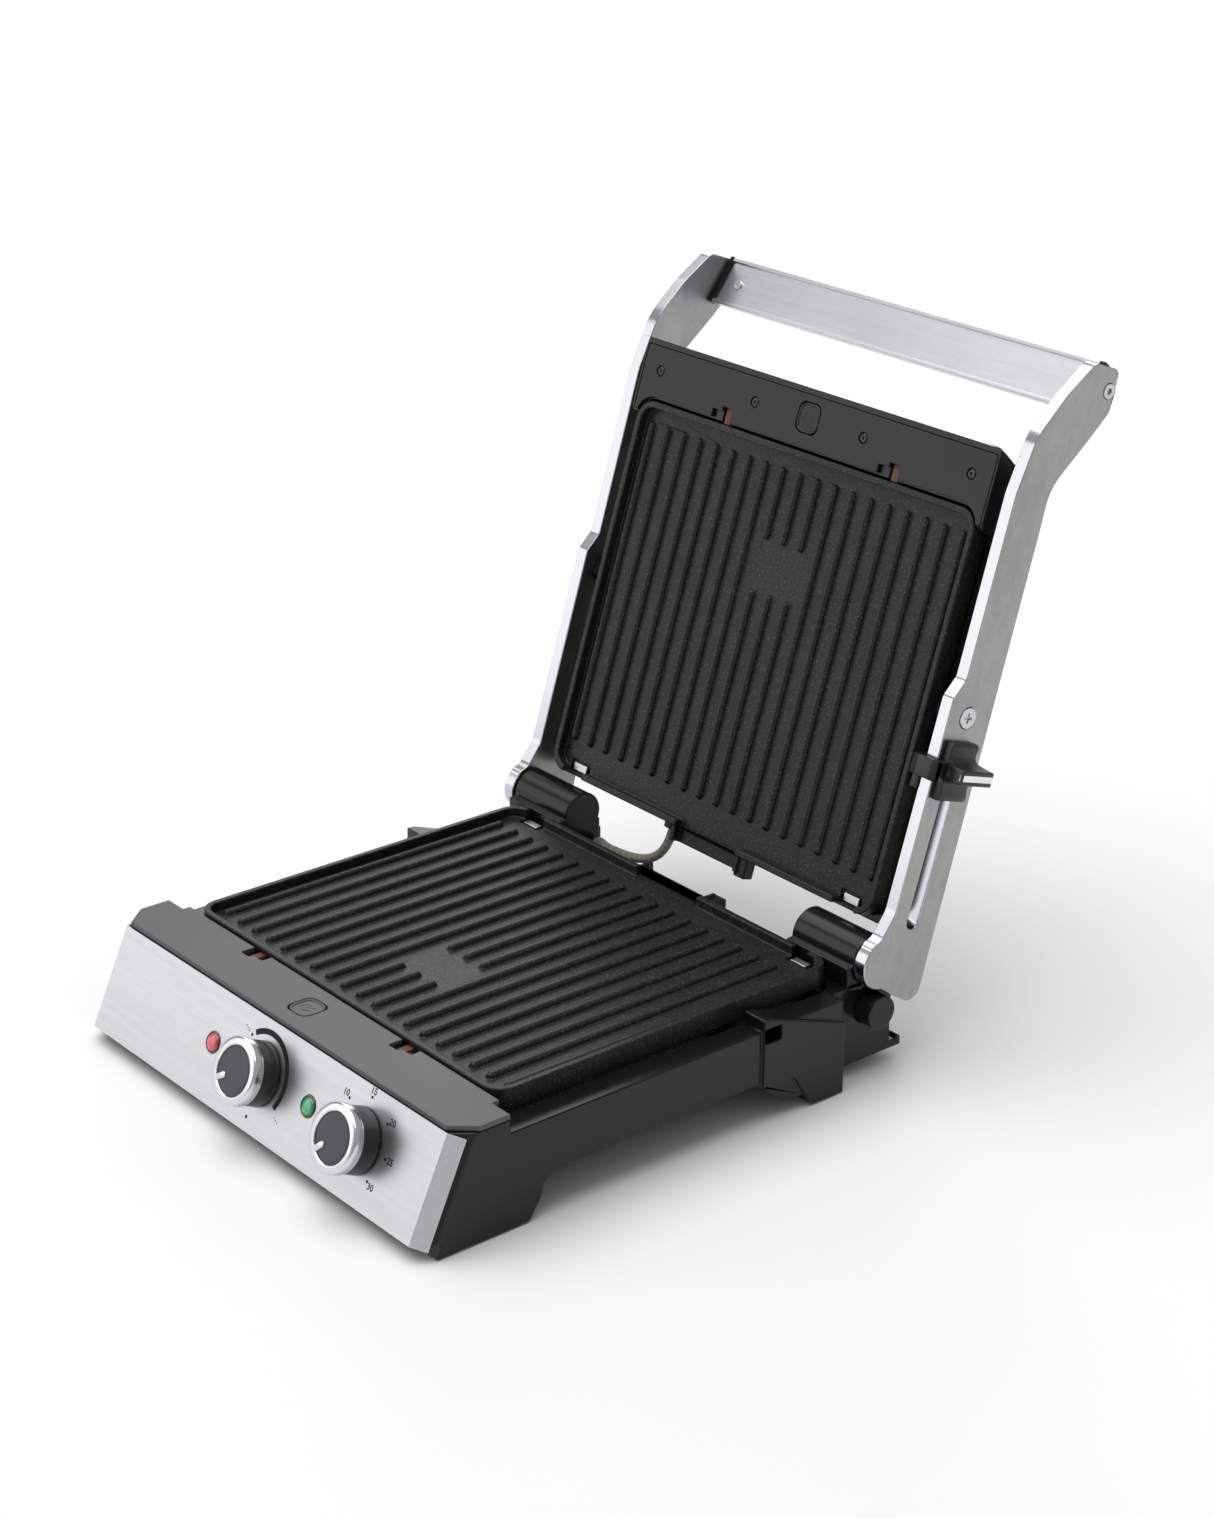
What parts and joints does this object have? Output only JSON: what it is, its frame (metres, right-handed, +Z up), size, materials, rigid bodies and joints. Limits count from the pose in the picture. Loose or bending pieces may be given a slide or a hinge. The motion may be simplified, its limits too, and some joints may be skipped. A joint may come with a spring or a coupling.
{
  "type": "panini press",
  "caption": "Contact grill with a ribbed lower plate and a hinged floating upper plate, side arms with a pull bar, a lock slider and two dials on a leaning steel panel.",
  "frame": {"origin": "centre of the open press's plan box, on the worktop", "axes": "+X to the user's right, +Y to the back, +Z up; the control panel faces -Y"},
  "size_m": [0.3534, 0.5062, 0.3956],
  "materials": {
    "black_plastic": "moulded, glossy",
    "control_deck": "fine satin",
    "trim_black": "satin",
    "nonstick": "speckled non-stick coating",
    "brushed_panel": "fine brushed",
    "lid_steel": "brushed",
    "arm_metal": "satin with polished edges",
    "handle_metal": "brushed",
    "chrome_ring": "satin chrome",
    "chrome_trim": "bright",
    "knob_black": "satin",
    "steel": "plain",
    "zinc": "zinc plated",
    "dark_screw": "blackened",
    "latch_brown": "moulded",
    "red_lens": "clear red",
    "green_lens": "clear green",
    "lamp": "neon lamp",
    "conduit": "warm grey braided sleeve",
    "rubber": "matt",
    "switch_body": "moulded",
    "heater_metal": "oxidised tube",
    "reflector_metal": "bright sheet"
  },
  "bodies": {
    "base": {"base_housing": "black_plastic", "bottom_cover": "black_plastic", "bottom_screws": "zinc", "rubber_feet": "rubber", "front_panel": "brushed_panel", "control_cover": "control_deck", "power_lens": "red_lens", "ready_lens": "green_lens", "indicator_lamps": "lamp", "thermostat": "switch_body", "timer": "switch_body", "terminal_block": "switch_body", "cord_gland": "rubber", "lower_plate": "nonstick", "lower_heater": "heater_metal", "lower_reflector": "reflector_metal", "lower_plate_clips": "chrome_trim", "lower_button_spring": "steel", "lower_latch_spring": "steel", "hinge_cover_left": "black_plastic", "hinge_cover_right": "black_plastic", "hinge_pin_left": "steel", "hinge_pin_right": "steel", "stop_button_spring": "steel"},
    "thermostat_knob": {"thermostat_knob": "knob_black", "thermostat_knob_ring": "chrome_ring", "thermostat_shaft": "steel"},
    "timer_knob": {"timer_knob": "knob_black", "timer_knob_ring": "chrome_ring", "timer_shaft": "steel"},
    "lower_button": {"lower_release_button": "control_deck"},
    "lower_latch": {"lower_latch_bar": "latch_brown"},
    "stop_button": {"stop_button": "black_plastic"},
    "lid": {"arm_left": "arm_metal", "arm_right": "arm_metal", "handle_bar": "handle_metal", "handle_end_caps": "black_plastic", "handle_bolts": "steel", "handle_screws": "zinc", "pivot_screws": "steel", "wiring_conduit": "conduit"},
    "lock_slider": {"lock_slider": "black_plastic", "lock_slider_trim": "chrome_trim", "slider_guide_pin": "steel"},
    "upper_housing": {"upper_housing": "black_plastic", "upper_cover": "lid_steel", "upper_trim": "trim_black", "trim_screws": "dark_screw", "upper_plate": "nonstick", "upper_heater": "heater_metal", "upper_reflector": "reflector_metal", "upper_plate_clips": "chrome_trim", "upper_button_spring": "steel", "upper_latch_spring": "steel"},
    "upper_button": {"upper_release_button": "trim_black"},
    "upper_latch": {"upper_latch_bar": "latch_brown"}
  },
  "joints": [
    {"name": "lid_hinge", "type": "hinge", "parent": "base", "child": "lid", "pos_m": [-0.0093, 0.08598, 0.0712], "axis": [1, 0, 0], "range_deg": [0, 107.9], "deforming": ["wiring_conduit"]},
    {"name": "housing_float", "type": "hinge", "parent": "lid", "child": "upper_housing", "pos_m": [-0.0093, 0.14477, 0.207], "axis": [1, 0, 0], "range_deg": [-3, 0]},
    {"name": "slider_slide", "type": "slide", "parent": "lid", "child": "lock_slider", "axis": [0, 0.3074, 0.9516], "range_m": [-0.078, 0]},
    {"name": "thermostat_turn", "type": "hinge", "parent": "base", "child": "thermostat_knob", "pos_m": [-0.0093, -0.22689, 0.03925], "axis": [0, 0.9107, -0.4131], "range_deg": [0, 270]},
    {"name": "timer_turn", "type": "hinge", "parent": "base", "child": "timer_knob", "pos_m": [0.0847, -0.22689, 0.03925], "axis": [0, 0.9107, -0.4131], "range_deg": [0, 270]},
    {"name": "lower_button_press", "type": "slide", "parent": "base", "child": "lower_button", "axis": [0, 0, -1], "range_m": [0, 0.0025], "stiffness_N_per_m": 800, "deforming": ["lower_button_spring"]},
    {"name": "lower_latch_slide", "type": "slide", "parent": "base", "child": "lower_latch", "axis": [0, -1, 0], "range_m": [0, 0.003], "deforming": ["lower_latch_spring"]},
    {"name": "upper_button_press", "type": "slide", "parent": "upper_housing", "child": "upper_button", "axis": [0, 0.9516, -0.3074], "range_m": [0, 0.0025], "stiffness_N_per_m": 800, "deforming": ["upper_button_spring"]},
    {"name": "upper_latch_slide", "type": "slide", "parent": "upper_housing", "child": "upper_latch", "axis": [0, 0.3074, 0.9516], "range_m": [0, 0.003], "deforming": ["upper_latch_spring"]},
    {"name": "stop_button_press", "type": "slide", "parent": "base", "child": "stop_button", "axis": [-1, 0, 0], "range_m": [0, 0.0116], "stiffness_N_per_m": 500, "deforming": ["stop_button_spring"]}
  ],
  "couplings": [
    {"joint": "lower_latch_slide", "follows": "lower_button_press", "ratio": 1.2},
    {"joint": "upper_latch_slide", "follows": "upper_button_press", "ratio": 1.2}
  ]
}
